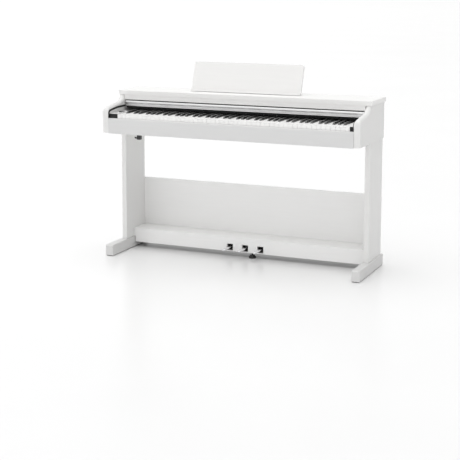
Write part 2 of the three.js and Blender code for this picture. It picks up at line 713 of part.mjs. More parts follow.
function coverPanel() {
  const frontY = COVER_FRONT_Y + 15 + GAP;
  return block(
    [-COVER_HALF, frontY, COVER_PANEL_Z],
    [COVER_HALF, COVER_PANEL_BACK_Y, COVER_PANEL_Z + COVER_PANEL_T],
  );
}

// Centre line of a cover guide, as [y, z]: up the arm's front, round its corner and back.
const RAIL_PATH = [
  [-204, 722], [-204, 747], [-201.5, 752.5], [-193, 757.5], [-154, 762.5], [-114.5, 766.5],
  [-74, 767.3], [60, 767.3],
];

/** The black guide on an arm's inner face that the key cover's edge runs in. */
function coverRail(side) {
  const half = RAIL_W / 2;
  const sides = RAIL_PATH.map(([y, z], i) => {
    const [y0, z0] = RAIL_PATH[Math.max(0, i - 1)];
    const [y1, z1] = RAIL_PATH[Math.min(RAIL_PATH.length - 1, i + 1)];
    const along = new THREE.Vector2(y1 - y0, z1 - z0).normalize();
    return [[y - along.y * half, z + along.x * half], [y + along.y * half, z - along.x * half]];
  });
  const ring = [...sides.map((pair) => pair[0]), ...sides.map((pair) => pair[1]).reverse()];
  const xs = [side * (SIDE_IN_X - GAP), side * (SIDE_IN_X - GAP - RAIL_T)].sort((a, b) => a - b);
  return alongX(outline(ring), xs[0], xs[1]);
}

// ---------------------------------------------------------------- music rest

/** The panel's face seen from the front: square at the foot and rounded at the top. */
function restPanel() {
  const face = new THREE.Shape();
  face.moveTo(-REST_HALF, 0);
  face.lineTo(REST_HALF, 0);
  face.lineTo(REST_HALF, REST_H - REST_CORNER_R);
  face.absarc(REST_HALF - REST_CORNER_R, REST_H - REST_CORNER_R, REST_CORNER_R, 0, Math.PI / 2);
  face.absarc(-REST_HALF + REST_CORNER_R, REST_H - REST_CORNER_R, REST_CORNER_R, Math.PI / 2, Math.PI);
  return alongY(face, 0, REST_T, 6);
}

/** The ledge that books stand on: it runs under the panel and is level with the top board. */
function restLedge() {
  const lip = 2.5;
  const lipTop = 4;
  const tuck = 6;
  const drop = 3.3;
  const under = (y) => y * Math.tan(REST_LEAN) - drop;
  const profile = [
    [-LEDGE_D, under(-LEDGE_D)], [tuck, under(tuck)], [tuck, -GAP], [-LEDGE_D + lip, -GAP],
    [-LEDGE_D + lip, lipTop], [-LEDGE_D, lipTop],
  ];
  return alongX(outline(profile), -REST_HALF + 1, REST_HALF - 1);
}

/** The wire stay behind the panel, drawn hanging straight down from its pivot. */
function restStay() {
  const half = STAY_W / 2;
  const shape = outline([
    [-STAY_HALF, 0], [-STAY_HALF, -STAY_L], [STAY_HALF, -STAY_L], [STAY_HALF, 0],
    [STAY_HALF - STAY_W, 0], [STAY_HALF - STAY_W, -STAY_L + STAY_W],
    [-STAY_HALF + STAY_W, -STAY_L + STAY_W], [-STAY_HALF + STAY_W, 0],
  ]);
  return alongY(shape, -half, half);
}

const HINGE = { half: 200, barrelR: 3.2, leafD: 16, leafT: 1.6 };

/** The fixed half of the rest's hinge: a leaf on the top board that carries the barrel. */
function restHinge() {
  const axis = restPoint(REST_AXIS.y, REST_AXIS.z);
  const leafZ = TOP_Z + GAP;
  const left = axis.x - HINGE.half;
  const right = axis.x + HINGE.half;
  const barrel = crossCylinder(left, right, axis.y, axis.z, HINGE.barrelR, 12);
  const leaf = block([left, axis.y, leafZ], [right, axis.y + HINGE.leafD, leafZ + HINGE.leafT]);
  const web = block([left, axis.y - 1, leafZ], [right, axis.y + 1, axis.z]);
  return join([barrel, leaf, web]);
}

/** A point of the leaning rest's own frame (y rearward, z up the panel) in the piano's frame. */
function restPoint(y, z) {
  const sin = Math.sin(REST_LEAN);
  const cos = Math.cos(REST_LEAN);
  return new THREE.Vector3(REST_FOOT.x, REST_FOOT.y + y * cos + z * sin, REST_FOOT.z - y * sin + z * cos);
}

// ---------------------------------------------------------------- electrics

/** A downward-facing loudspeaker: flange, cone basket and magnet. */
function speaker() {
  const { r, neckR, magnetR, coneH, height } = SPEAKER;
  const flangeT = 4;
  const profile = [
    [0, 0], [r, 0], [r, flangeT], [r - 6, flangeT + 2],
    [neckR, coneH], [magnetR, coneH], [magnetR, height], [0, height],
  ];
  const spun = new THREE.LatheGeometry(profile.map(([radius, h]) => new THREE.Vector2(radius, h)), 24);
  return spun.rotateX(Math.PI / 2);
}

const JACK_BOX = { x0: -493, x1: -475, y0: -190, y1: -170, z0: 616.5 };

function headphoneBox() {
  const topZ = KEYBED_Z - GAP;
  return block([JACK_BOX.x0, JACK_BOX.y0, JACK_BOX.z0], [JACK_BOX.x1, JACK_BOX.y1, topZ]);
}

const HOOK = { y: JACK_BOX.y0 + 10, z: JACK_BOX.z0 + 7, length: 18, r: 4.5, tipT: 4, tipH: 9 };

/** The peg beside the headphone box that a headset hangs on. */
function headphoneHook() {
  const right = JACK_BOX.x0 - GAP;
  const end = right - HOOK.length;
  const peg = crossCylinder(end, right, HOOK.y, HOOK.z, HOOK.r, 12);
  const tip = block([end, HOOK.y - 4, HOOK.z], [end + HOOK.tipT, HOOK.y + 4, HOOK.z + HOOK.tipH]);
  return join([peg, tip]);
}

const MAIN_BOARD = { half: 170, y0: 100, y1: 172, t: 1.6, stand: 6 };

/** The circuit board, which stands off the keybed behind the keyboard. */
function mainBoard() {
  const z = KEYBED_Z + KEYBED_T + MAIN_BOARD.stand;
  return block(
    [-MAIN_BOARD.half, MAIN_BOARD.y0, z],
    [MAIN_BOARD.half, MAIN_BOARD.y1, z + MAIN_BOARD.t],
  );
}

const SOCKETS = { x0: -560, x1: -440, z0: 690, z1: 730, t: 7, wall: 1.5 };

/** The plate of sockets on the back: a power inlet, a pedal socket and a data socket, all blind. */
function socketPanel() {
  const y0 = SIDE_BACK_Y + GAP;
  const y1 = y0 + SOCKETS.t;
  const floorY = y0 + SOCKETS.wall;
  const z = (SOCKETS.z0 + SOCKETS.z1) / 2;
  const body = block([SOCKETS.x0, y0, SOCKETS.z0], [SOCKETS.x1, y1, SOCKETS.z1]);
  const round = (x, r) => alongY(outline(circlePoints(x, z, r, 16)), floorY, y1 + 1);
  const square = block([SOCKETS.x1 - 28, floorY, z - 6], [SOCKETS.x1 - 14, y1 + 1, z + 6]);
  return cut(body, [round(SOCKETS.x0 + 24, 5), round(SOCKETS.x0 + 58, 7), square]);
}

// ---------------------------------------------------------------- assembly

function addCabinet() {
  add('left_side_panel', sidePanel(-1), WHITE_SATIN);
  add('right_side_panel', sidePanel(1), WHITE_SATIN);
  add('top_board', topBoard(), WHITE_SATIN);
  add('nameboard', nameboard(), WHITE_SATIN);
  add('back_panel', backPanel(), WHITE_SATIN);
  add('keybed', keybed(), WHITE_SATIN);
  add('key_slip', keySlip(), WHITE_SATIN);
  add('key_felt_rail', keyFeltRail(), FELT);
}

function addStand() {
  for (const [word, side] of [['left', -1], ['right', 1]]) {
    add(`${word}_leg`, leg(side), WHITE_SATIN);
    add(`${word}_foot`, foot(side), WHITE_SATIN);
    add(`${word}_foot_pad`, footPad(side), RUBBER);
  }
  add('kick_board', kickBoard(), WHITE_SATIN);
  add('pedal_box_front', pedalBoxFront(), WHITE_SATIN);
  add('pedal_box_top', pedalBoxTop(), WHITE_SATIN);
  add('pedal_box_base', pedalBoxBase(), DARK_BOARD);
}

function addPedals() {
  const names = ['left_pedal', 'middle_pedal', 'right_pedal'];
  names.forEach((name, i) => add(name, pedal(PEDAL_XS[i]), CHROME));
  add('pedal_shaft', pedalShaft(), STEEL);
  add('pedal_bracket', pedalBracket(), STEEL);
  add('adjuster_bolt', adjusterBolt(), BLACK_PLASTIC);
}

const OCTAVE_FIRST_WHITE = 23;      // middle C, counted among the white keys from the lowest
const OCTAVE_LAST_WHITE = 29;
const OCTAVE_FIRST_BLACK = 16;
const OCTAVE_LAST_BLACK = 20;
const WHITE_NAMES = ['c', 'd', 'e', 'f', 'g', 'a', 'b'];
const BLACK_NAMES = ['c_sharp', 'd_sharp', 'f_sharp', 'g_sharp', 'a_sharp'];

function addKeys() {
  add('keyboard_chassis', keyboardChassis(), STEEL);
  add('white_keys_low', whiteKeyBlock(0, OCTAVE_FIRST_WHITE - 1), WHITE_KEY);
  add('white_keys_high', whiteKeyBlock(OCTAVE_LAST_WHITE + 1, WHITE_COUNT - 1), WHITE_KEY);
  add('black_keys_low', blackKeyBlock(BLACK_XS.slice(0, OCTAVE_FIRST_BLACK)), BLACK_KEY);
  add('black_keys_high', blackKeyBlock(BLACK_XS.slice(OCTAVE_LAST_BLACK + 1)), BLACK_KEY);
  WHITE_NAMES.forEach((note, i) => {
    add(`key_${note}4`, whiteKey(OCTAVE_FIRST_WHITE + i), WHITE_KEY);
  });
  BLACK_NAMES.forEach((note, i) => {
    add(`key_${note}4`, blackKey(BLACK_XS[OCTAVE_FIRST_BLACK + i]), BLACK_KEY);
  });
}

function addControls() {
  add('left_cheek_block', leftCheekBlock(), BLACK_PLASTIC);
  add('right_cheek_block', rightCheekBlock(), BLACK_PLASTIC);
  add('power_button', roundButton(POWER), BLACK_PLASTIC);
  add('volume_slider', volumeSlider(), BLACK_PLASTIC);
  add('sound_button', roundButton(SOUND), BLACK_PLASTIC);
}

function addCover() {
  add('cover_front_rail', coverFrontRail(), COVER_SILVER);
  add('cover_panel', coverPanel(), WHITE_SATIN);
  add('left_cover_rail', coverRail(-1), BLACK_PLASTIC);
  add('right_cover_rail', coverRail(1), BLACK_PLASTIC);
}

function addMusicRest() {
  const rest = new THREE.Group();
  rest.position.copy(REST_FOOT);
  rest.rotation.x = -REST_LEAN;
  add('music_rest', restPanel(), WHITE_SATIN, rest);
  add('music_rest_ledge', restLedge(), WHITE_SATIN, rest);
  piano.add(rest);
  const stay = add('music_rest_stay', restStay(), STEEL);
  stay.position.copy(restPoint(REST_AXIS.y, REST_AXIS.z + STAY_UP));
  stay.rotation.x = STAY_LEAN;
  add('music_rest_hinge', restHinge(), STEEL);
}

function addElectrics() {
  const speakerZ = KEYBED_Z + KEYBED_T + GAP;
  for (const [word, side] of [['left', -1], ['right', 1]]) {
    const mesh = add(`${word}_speaker`, speaker(), BLACK_PLASTIC);
    mesh.position.set(side * SPEAKER.x, SPEAKER.y, speakerZ);
  }
  add('headphone_box', headphoneBox(), BLACK_PLASTIC);
  add('headphone_hook', headphoneHook(), BLACK_PLASTIC);
  add('main_board', mainBoard(), CIRCUIT);
  add('socket_panel', socketPanel(), BLACK_PLASTIC);
}

addCabinet();
addStand();
addPedals();
addKeys();
addControls();
addCover();
addMusicRest();
addElectrics();

export default piano;
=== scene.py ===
import json
import math

import bmesh
import bpy
from mathutils import Matrix, Vector


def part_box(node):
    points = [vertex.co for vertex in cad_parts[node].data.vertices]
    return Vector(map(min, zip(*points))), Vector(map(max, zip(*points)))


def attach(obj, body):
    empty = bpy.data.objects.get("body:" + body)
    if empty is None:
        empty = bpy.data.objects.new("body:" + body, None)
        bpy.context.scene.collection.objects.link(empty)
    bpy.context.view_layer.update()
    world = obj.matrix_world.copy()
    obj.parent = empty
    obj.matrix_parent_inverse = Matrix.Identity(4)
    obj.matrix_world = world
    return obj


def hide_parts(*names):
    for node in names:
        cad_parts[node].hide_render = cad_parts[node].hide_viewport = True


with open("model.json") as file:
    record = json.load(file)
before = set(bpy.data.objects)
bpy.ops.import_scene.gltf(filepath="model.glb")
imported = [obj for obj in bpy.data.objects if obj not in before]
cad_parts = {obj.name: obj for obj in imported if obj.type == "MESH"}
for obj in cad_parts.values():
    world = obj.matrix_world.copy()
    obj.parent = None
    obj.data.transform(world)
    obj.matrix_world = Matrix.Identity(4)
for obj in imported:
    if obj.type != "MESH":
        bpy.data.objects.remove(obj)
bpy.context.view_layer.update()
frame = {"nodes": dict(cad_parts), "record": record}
MM = 0.001

# ---------------------------------------------------------------- camera

CAMERA_AT = (2.2711, -5.5028, 1.4597)
CAMERA_YAW = math.radians(24.105)
CAMERA_PITCH = math.radians(7.952)
CAMERA_LENS = 93.80
CAMERA_SHIFT = (0.05, -0.20)


def make_camera():
    data = bpy.data.cameras.new("camera")
    data.sensor_width = 36
    data.lens = CAMERA_LENS
    data.shift_x, data.shift_y = CAMERA_SHIFT
    data.clip_start, data.clip_end = 0.05, 400
    camera = bpy.data.objects.new("camera", data)
    bpy.context.collection.objects.link(camera)
    camera.location = CAMERA_AT
    camera.rotation_euler = (math.pi / 2 - CAMERA_PITCH, 0, CAMERA_YAW)
    bpy.context.scene.camera = camera


# ---------------------------------------------------------------- materials


class Paint:
    """A procedural material under construction: its nodes, links and shader."""

    def __init__(self, name):
        self.material = bpy.data.materials.new(name)
        self.material.use_nodes = True
        self.nodes = self.material.node_tree.nodes
        self.links = self.material.node_tree.links
        self.shader = self.nodes["Principled BSDF"]

    def node(self, kind, **values):
        made = self.nodes.new(kind)
        for key, value in values.items():
            if key in made.inputs:
                made.inputs[key].default_value = value
            else:
                setattr(made, key, value)
        return made

    def link(self, source, target):
        self.links.new(source, target)

    def set(self, **values):
        for key, value in values.items():
            self.shader.inputs[key.replace("_", " ")].default_value = value

    def coords(self, scale=(1, 1, 1)):
        coordinate = self.node("ShaderNodeTexCoord")
        mapping = self.node("ShaderNodeMapping", Scale=scale)
        self.link(coordinate.outputs["Object"], mapping.inputs["Vector"])
        return mapping.outputs["Vector"]

    def noise(self, vector, scale, detail=4, roughness=0.5):
        made = self.node("ShaderNodeTexNoise", Scale=scale, Detail=detail, Roughness=roughness)
        self.link(vector, made.inputs["Vector"])
        return made.outputs["Fac"]

    def two_tone(self, factor, dark, light, low=0.3, high=0.7):
        ramp = self.node("ShaderNodeValToRGB")
        ramp.color_ramp.elements[0].position = low
        ramp.color_ramp.elements[0].color = (*dark, 1)
        ramp.color_ramp.elements[1].position = high
        ramp.color_ramp.elements[1].color = (*light, 1)
        self.link(factor, ramp.inputs["Fac"])
        self.link(ramp.outputs["Color"], self.shader.inputs["Base Color"])

    def vary_roughness(self, factor, low, high):
        spread = self.node("ShaderNodeMapRange", **{"To Min": low, "To Max": high})
        self.link(factor, spread.inputs["Value"])
        self.link(spread.outputs["Result"], self.shader.inputs["Roughness"])

    def bump(self, height, strength, distance):
        made = self.node("ShaderNodeBump", Strength=strength, Distance=distance)
        self.link(height, made.inputs["Height"])
        self.link(made.outputs["Normal"], self.shader.inputs["Normal"])


def shade(colour, amount):
    return tuple(c * amount for c in colour)


def foil(name, colour, grain):
    """Satin foil on board. grain is the axis, 0 to 2, that its faint wood figure runs along."""
    paint = Paint(name)
    stretch = [26, 26, 26]
    stretch[grain] = 1.6
    figure = paint.noise(paint.coords(stretch), 4, 8, 0.62)
    paint.two_tone(figure, shade(colour, 0.988), colour, 0.34, 0.6)
    fine = [900, 900, 900]
    fine[grain] = 30
    pores = paint.noise(paint.coords(fine), 1, 3, 0.6)
    paint.bump(pores, 0.05, 0.0002)
    paint.vary_roughness(figure, 0.36, 0.46)
    return paint.material


def moulded(name, colour, rough, texture=1400, strength=0.12):
    """Moulded plastic with a fine spark-eroded texture."""
    paint = Paint(name)
    mottle = paint.noise(paint.coords(), 60, 3)
    paint.two_tone(mottle, shade(colour, 0.92), colour)
    paint.vary_roughness(mottle, rough - 0.04, rough + 0.05)
    paint.bump(paint.noise(paint.coords(), texture, 2), strength, 0.0001)
    return paint.material


def polished_key(name, colour, rough, specular=0.5):
    """Key plastic: smooth, with the slight orange peel of moulding and a faint tone drift."""
    paint = Paint(name)
    drift = paint.noise(paint.coords((30, 4, 10)), 1.5, 3)
    paint.two_tone(drift, shade(colour, 0.975), colour)
    paint.vary_roughness(drift, rough - 0.03, rough + 0.04)
    paint.bump(paint.noise(paint.coords(), 220, 2), 0.04, 0.0001)
    paint.set(Specular_IOR_Level=specular)
    return paint.material


def metal(name, colour, low, high, brushed=None):
    """Bare metal. brushed is the axis that its scratches run along, or None if polished."""
    paint = Paint(name)
    paint.set(Metallic=1.0)
    scale = [3, 3, 3]
    if brushed is not None:
        scale = [700, 700, 700]
        scale[brushed] = 8
    marks = paint.noise(paint.coords(scale), 1.3, 5, 0.6)
    paint.two_tone(marks, shade(colour, 0.93), colour)
    paint.vary_roughness(marks, low, high)
    if brushed is not None:
        paint.bump(marks, 0.05, 0.0001)
    return paint.material


def felt(name, colour):
    paint = Paint(name)
    fibres = paint.noise(paint.coords(), 1800, 6, 0.8)
    paint.two_tone(fibres, shade(colour, 0.5), colour)
    paint.bump(fibres, 0.7, 0.0006)
    paint.set(Roughness=0.95, Sheen_Weight=0.08, Sheen_Roughness=0.5)
    return paint.material


def rubber(name):
    paint = Paint(name)
    grime = paint.noise(paint.coords(), 90, 5)
    paint.two_tone(grime, (0.016, 0.016, 0.016), (0.035, 0.034, 0.033))
    paint.bump(paint.noise(paint.coords(), 2200, 2), 0.2, 0.0001)
    paint.set(Roughness=0.8)
    return paint.material


def fibreboard(name):
    paint = Paint(name)
    chips = paint.noise(paint.coords(), 420, 6, 0.75)
    paint.two_tone(chips, (0.016, 0.014, 0.013), (0.05, 0.045, 0.04))
    paint.bump(chips, 0.3, 0.0003)
    paint.set(Roughness=0.85)
    return paint.material


def circuit(name):
    """Green circuit laminate with lighter copper runs under its lacquer."""
    paint = Paint(name)
    runs = paint.node("ShaderNodeTexBrick", Scale=1.0, offset=0.5)
    runs.inputs["Brick Width"].default_value = 0.012
    runs.inputs["Row Height"].default_value = 0.004
    runs.inputs["Mortar Size"].default_value = 0.0006
    paint.link(paint.coords(), runs.inputs["Vector"])
    paint.two_tone(runs.outputs["Fac"], (0.008, 0.06, 0.025), (0.03, 0.17, 0.07))
    paint.set(Roughness=0.35)
    return paint.material


def mesh_cloth(name):
    """Black speaker cloth: a fine square weave."""
    paint = Paint(name)
    vector = paint.coords()
    heights = []
    for direction in ("X", "Y"):
        wave = paint.node("ShaderNodeTexWave", Scale=260.0, bands_direction=direction)
        paint.link(vector, wave.inputs["Vector"])
        heights.append(wave.outputs["Fac"])
    weave = paint.node("ShaderNodeMath", operation="MULTIPLY")
    paint.link(heights[0], weave.inputs[0])
    paint.link(heights[1], weave.inputs[1])
    paint.two_tone(weave.outputs["Value"], (0.004, 0.004, 0.004), (0.05, 0.05, 0.05), 0.1, 0.8)
    paint.bump(weave.outputs["Value"], 0.6, 0.0004)
    paint.set(Roughness=0.9)
    return paint.material


def pale_floor():
    paint = Paint("floor_paint")
    cloud = paint.noise(paint.coords(), 0.8, 3)
    paint.two_tone(cloud, (0.885, 0.885, 0.885), (0.9, 0.9, 0.9))
    paint.set(Roughness=0.22)
    return paint.material


WHITE = (0.80, 0.797, 0.788)
# The key slip takes a darker copy of the case white: painted shade on its front face.
SLIP_WHITE_PAINTED_SHADE = (0.70, 0.70, 0.698)
# The kick board and pedal box take a lighter copy of the case white: painted light in their recess.
KICK_WHITE_PAINTED_LIGHT = (0.92, 0.918, 0.91)
# The feet take a darker copy of the case white: painted shade.
FOOT_WHITE_PAINTED_SHADE = (0.68, 0.678, 0.672)
FOIL_X = foil("white_foil_along_x", WHITE, 0)
FOIL_Y = foil("white_foil_along_y", WHITE, 1)
FOIL_Z = foil("white_foil_along_z", WHITE, 2)
# The music rest takes a lighter copy of the case white: painted light on its leaning face.
FOIL_REST_PAINTED_LIGHT = foil("white_foil_rest_painted_light", (0.86, 0.855, 0.845), 0)
FOIL_SLIP_PAINTED_SHADE = foil("white_foil_slip_painted_shade", SLIP_WHITE_PAINTED_SHADE, 0)
FOIL_KICK_PAINTED_LIGHT = foil("white_foil_kick_painted_light", KICK_WHITE_PAINTED_LIGHT, 0)
FOIL_FOOT_PAINTED_SHADE = foil("white_foil_foot_painted_shade", FOOT_WHITE_PAINTED_SHADE, 1)
# The top board, nameboard and cheek caps take a lighter copy of the case white: painted light.
FOIL_BOARD_PAINTED_LIGHT = foil("white_foil_top_painted_light", (0.885, 0.88, 0.87), 0)
KEY_WHITE = polished_key("key_white", (0.95, 0.945, 0.935), 0.3, 0.3)
KEY_BLACK = polished_key("key_black", (0.022, 0.022, 0.022), 0.2, 0.95)
GUIDE_BLACK = moulded("guide_black_plastic", (0.007, 0.007, 0.007), 0.62)
BLACK = moulded("black_moulding", (0.02, 0.02, 0.02), 0.42)
SILVER = metal("cover_lip_satin", (0.80, 0.80, 0.80), 0.26, 0.34, 0)
CHROME = metal("pedal_chrome", (0.86, 0.86, 0.87), 0.05, 0.13)
STEEL = metal("plated_steel", (0.56, 0.56, 0.58), 0.24, 0.38, 0)
BRASS = metal("contact_brass", (0.72, 0.55, 0.25), 0.2, 0.3)
GREY = moulded("grey_chassis_plastic", (0.16, 0.16, 0.165), 0.5)
FELT = felt("black_felt", (0.03, 0.03, 0.03))
RUBBER = rubber("pad_rubber")
BOARD = fibreboard("dark_fibreboard")
CIRCUIT = circuit("circuit_laminate")
CLOTH = mesh_cloth("speaker_cloth")
PAPER = moulded("speaker_cone_paper", (0.05, 0.048, 0.045), 0.85, 300, 0.4)


# ---------------------------------------------------------------- mesh helpers


def finish_piece(obj, material, body):
    obj.data.materials.clear()
    obj.data.materials.append(material)
    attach(obj, body)
    return obj


def mesh_piece(name, verts, faces, material, body, slot, smooth=False):
    """A mesh from points in metres. Faces are turned to face outwards."""
    data = bpy.data.meshes.new(name)
    made = bmesh.new()
    points = [made.verts.new(v) for v in verts]
    for face in faces:
        made.faces.new([points[i] for i in face])
    bmesh.ops.recalc_face_normals(made, faces=made.faces)
    for face in made.faces:
        face.smooth = smooth
    made.to_mesh(data)
    made.free()
    obj = bpy.data.objects.new(name, data)
    bpy.context.collection.objects.link(obj)
    return finish_piece(obj, material, body)


def bevel(obj, width, segments=3, angle=32, smooth=True):
    """Rounds an object's sharp edges, and shades the result as one smooth skin."""
    modifier = obj.modifiers.new("bevel", "BEVEL")
    modifier.width = width
    modifier.segments = segments
    modifier.limit_method = "ANGLE"
    modifier.angle_limit = math.radians(angle)
    modifier.harden_normals = smooth
    return obj


def prism(outline, low, high, axis):
    """Points and faces of an outline in the two other axes, extruded from low to high along axis."""
    others = [i for i in range(3) if i != axis]

    def place(level, pair):
        point = [0, 0, 0]
        point[axis] = level
        point[others[0]], point[others[1]] = pair
        return tuple(point)

    count = len(outline)
    verts = [place(low, pair) for pair in outline] + [place(high, pair) for pair in outline]
    faces = [tuple(range(count)), tuple(range(count, 2 * count))]
    faces += [(i, (i + 1) % count, count + (i + 1) % count, count + i) for i in range(count)]
    return verts, faces


def merge(parts):
    """One list of points and faces from several."""
    verts, faces = [], []
    for part_verts, part_faces in parts:
        start = len(verts)
        verts += part_verts
        faces += [tuple(start + i for i in face) for face in part_faces]
    return verts, faces


def loft(rings):
    """Points and faces of a closed skin through equal rings, with flat ends."""
    count = len(rings[0])
    verts = [tuple(point) for ring in rings for point in ring]
    faces = [tuple(range(count)), tuple(range(len(verts) - count, len(verts)))]
    for level in range(len(rings) - 1):
        near, far = level * count, (level + 1) * count
        for i in range(count):
            j = (i + 1) % count
            faces.append((near + i, near + j, far + j, far + i))
    return verts, faces


def disc(centre, radius, count=24):
    """Points of a circle in a plane, as pairs."""
    step = 2 * math.pi / count
    u, v = centre
    return [(u + radius * math.cos(i * step), v + radius * math.sin(i * step)) for i in range(count)]


def arc(centre, radius, start, sweep, steps):
    """Points of a circle's arc, as pairs, from the angle start through sweep radians."""
    u, v = centre
    angles = [start + sweep * i / steps for i in range(steps + 1)]
    return [(u + radius * math.cos(angle), v + radius * math.sin(angle)) for angle in angles]


def spun(profile, centre, axis, count=32):
    """Points and faces of a profile of (radius, distance along axis) turned round a centre."""
    others = [i for i in range(3) if i != axis]
    rings = []
    for radius, along in profile:
        ring = []
        for pair in disc((centre[others[0]], centre[others[1]]), max(radius, 1e-5), count):
            point = [0, 0, 0]
            point[axis] = centre[axis] + along
            point[others[0]], point[others[1]] = pair
            ring.append(tuple(point))
        rings.append(ring)
    return loft(rings)


def bored(profile, centre, axis, count=32):
    """Points and faces of a ring: as spun, but the profile's two ends are joined and it is open."""
    verts, faces = spun(profile, centre, axis, count)
    start = len(verts) - count
    closing = [(i, (i + 1) % count, start + (i + 1) % count, start + i) for i in range(count)]
    return verts, faces[2:] + closing


def tube(name, points, radius, material, body):
    """A round wire through points, with full round bends."""
    data = bpy.data.curves.new(name, "CURVE")
    data.dimensions = "3D"
    data.bevel_depth = radius
    data.bevel_resolution = 6
    data.resolution_u = 8
    data.use_fill_caps = True
    spline = data.splines.new("POLY")
    spline.points.add(len(points) - 1)
    for target, point in zip(spline.points, points):
        target.co = (*point, 1)
    obj = bpy.data.objects.new(name, data)
    bpy.context.collection.objects.link(obj)
    return finish_piece(obj, material, body)


def rounded(points, radius, steps=6):
    """A path with each inner corner replaced by a short arc."""
    path = [Vector(points[0])]
    for before, corner, after in zip(points, points[1:], points[2:]):
        corner = Vector(corner)
        start = corner + (Vector(before) - corner).normalized() * radius
        end = corner + (Vector(after) - corner).normalized() * radius
        for i in range(steps + 1):
            t = i / steps
            path.append(start.lerp(corner, t).lerp(corner.lerp(end, t), t))
    path.append(Vector(points[-1]))
    return path


def curve_points(p0, p1, p2, p3, steps):
    """A cubic Bezier in two dimensions, without its first point."""
    made = []
    for i in range(1, steps + 1):
        t = i / steps
        s = 1 - t
        weights = (s**3, 3 * s * s * t, 3 * s * t * t, t**3)
        made.append(tuple(sum(w * p[k] for w, p in zip(weights, (p0, p1, p2, p3))) for k in (0, 1)))
    return made


# ---------------------------------------------------------------- case


def dress(node, material, width=0.0012, segments=3):
    """Gives a CAD node its material and softened edges."""
    obj = frame["nodes"][node]
    obj.data.materials.clear()
    obj.data.materials.append(material)
    if width:
        bevel(obj, width, segments)
    return obj


def dress_case():
    # The top board and nameboard get the lightened copy of the case white: painted light.
    dress("top_board", FOIL_BOARD_PAINTED_LIGHT, 0.0022, 4)
    dress("nameboard", FOIL_BOARD_PAINTED_LIGHT, 0.0008)
    dress("back_panel", FOIL_X, 0.0006)
    dress("keybed", FOIL_X, 0.0008)
    # The feet get the darkened copy of the case white: painted shade.
    for side in ("left", "right"):
        dress(f"{side}_leg", FOIL_Z, 0.0014)
        dress(f"{side}_foot", FOIL_FOOT_PAINTED_SHADE, 0.0018)
        dress(f"{side}_foot_pad", RUBBER, 0.0005)
    # The kick board and pedal box get the lightened copy of the case white: painted light.
    dress("kick_board", FOIL_KICK_PAINTED_LIGHT, 0.0012)
    dress("pedal_box_front", FOIL_KICK_PAINTED_LIGHT, 0.001)
    dress("pedal_box_top", FOIL_KICK_PAINTED_LIGHT, 0.001)
    dress("pedal_box_base", BOARD, 0.0006)
    dress("key_felt_rail", FELT, 0.0008)


def side_outline():
    """The side panel's outline in the Y-Z plane, and how far its edge rounding applies, 0 to 1."""
    low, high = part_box("right_side_panel")
    front, back, bottom, top = low.y, high.y, low.z, high.z
    corner_z, corner_r, slope = 0.772, 0.024, 0.15
    start_y, end_y = -0.090, -0.025

    def arm_top(y):
        return corner_z + slope * (y - front)

    rake = 0.006
    pts = [(back, bottom, 0), (front + rake, bottom, 0)]
    pts.append((front + rake / 2, (bottom + corner_z) / 2, 0))
    pts.append((front, corner_z - corner_r, 0))
    third, whole = front + corner_r / 3, front + corner_r
    corner = curve_points(
        (front, corner_z - corner_r), (front, corner_z - corner_r / 3),
        (third, arm_top(third)), (whole, arm_top(whole)), 12)
    pts += [(y, z, min(1, (i + 1) / 10)) for i, (y, z) in enumerate(corner)]
    for i in range(1, 10):
        y = front + corner_r + (start_y - front - corner_r) * i / 9
        pts.append((y, arm_top(y), 1))
    curve = curve_points(
        (start_y, arm_top(start_y)), (start_y + 0.028, arm_top(start_y + 0.028) + 0.001),
        (end_y - 0.0126, top - 0.018), (end_y, top), 16)
    pts += [(y, z, 1) for y, z in curve]
    pts.append((end_y + 0.002, top, 0))
    pts.append((back, top, 0))
    return pts


def side_panel(side):
    """The thick slab at one end of the case, its arm rounded over on both upper edges."""
    name = "left_side_panel" if side < 0 else "right_side_panel"
    low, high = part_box(name)
    inner, outer = sorted((abs(low.x), abs(high.x)))
    base = side_outline()
    normals = []
    for i in range(len(base)):
        before, after = base[i - 1], base[(i + 1) % len(base)]
        along = Vector((after[0] - before[0], after[1] - before[1])).normalized()
        normals.append((-along.y, along.x))
    radius, steps, edge = 0.015, 9, 0.0015

    def ring(x, depth, trim):
        made = []
        for (y, z, pull), (ny, nz) in zip(base, normals):
            move = depth * pull + trim * (1 - pull)
            made.append((side * x, y - ny * move, z - nz * move))
        return made

    rounds = []
    for i in range(steps + 1):
        angle = math.pi / 2 * i / steps
        rounds.append((radius * (1 - math.cos(angle)), radius * (1 - math.sin(angle))))
    rings = [ring(inner + across, inset, max(0, edge - across)) for across, inset in rounds]
    rings += [ring(outer - across, inset, max(0, edge - across)) for across, inset in reversed(rounds)]
    obj = mesh_piece(name + "_skin", *loft(rings), FOIL_Y, "cabinet", "case_white", smooth=True)
    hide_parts(name)
    soften(obj)


def soften(obj, angle=38):
    """Marks the edges sharper than an angle, so that smooth shading stops there."""
    made = bmesh.new()
    made.from_mesh(obj.data)
    for edge in made.edges:
        if len(edge.link_faces) == 2:
            edge.smooth = edge.calc_face_angle() < math.radians(angle)
    made.to_mesh(obj.data)
    made.free()


def key_slip():
    """The rail below the keys, its top front edge turned over in a full round."""
    low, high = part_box("key_slip")
    round_r = 0.006
    turned = arc((low.y + round_r, high.z - round_r), round_r, math.pi, -math.pi / 2, 8)
    outline = [(low.y, low.z), *turned, (high.y, high.z), (high.y, low.z)]
    skin = prism(outline, low.x, high.x, 0)
    # Its foil is the darkened copy of the case white: painted shade.
    obj = mesh_piece("key_slip_skin", *skin, FOIL_SLIP_PAINTED_SHADE, "cabinet", "case_white", smooth=True)
    soften(obj, 30)
    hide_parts("key_slip")


# ---------------------------------------------------------------- keys

